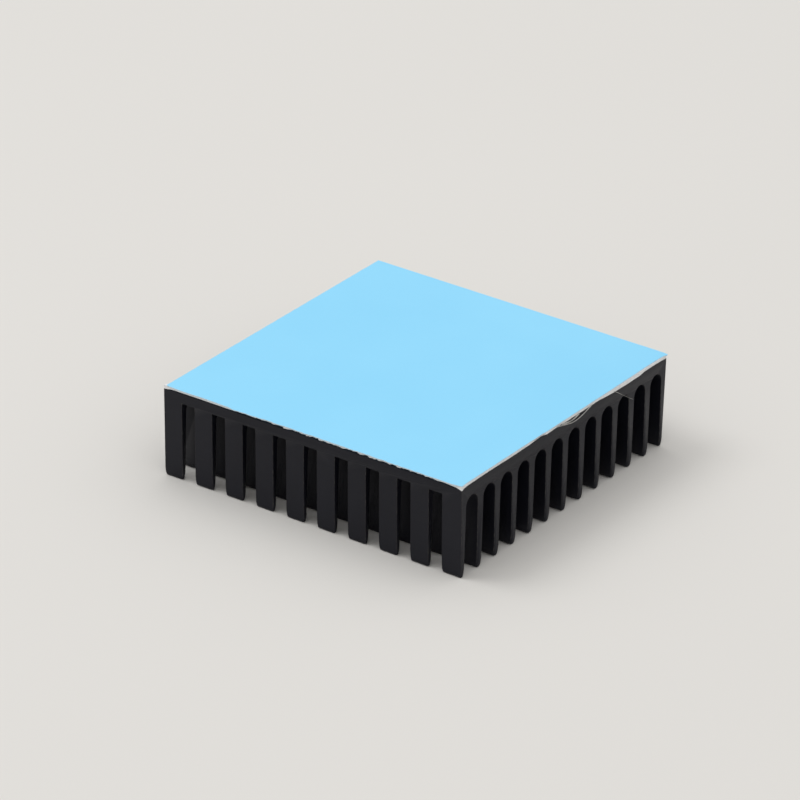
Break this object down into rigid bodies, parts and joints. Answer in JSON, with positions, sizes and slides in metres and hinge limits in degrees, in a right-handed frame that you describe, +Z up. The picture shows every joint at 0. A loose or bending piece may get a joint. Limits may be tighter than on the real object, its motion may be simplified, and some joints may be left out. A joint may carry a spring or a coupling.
{
  "type": "heat sink",
  "caption": "Square pin-fin heat sink in black anodised aluminium, lying on its pin tips, with thermal tape and a blue release liner on its flat base.",
  "frame": {"origin": "centre of the body's footprint, on the plane of the pin tips that it lies on", "axes": "+Z up, from the pin tips to the base; X along the extrusion; Y across the fins"},
  "size_m": [0.04, 0.0402, 0.0114],
  "materials": {
    "black_anodised": "black anodised, satin",
    "adhesive_tape": "white acrylic adhesive, matt",
    "liner_film": "pale blue film, satin"
  },
  "bodies": {
    "root": {"heat_sink_body": "black_anodised", "thermal_tape": "adhesive_tape", "release_liner": "liner_film"}
  },
  "joints": []
}
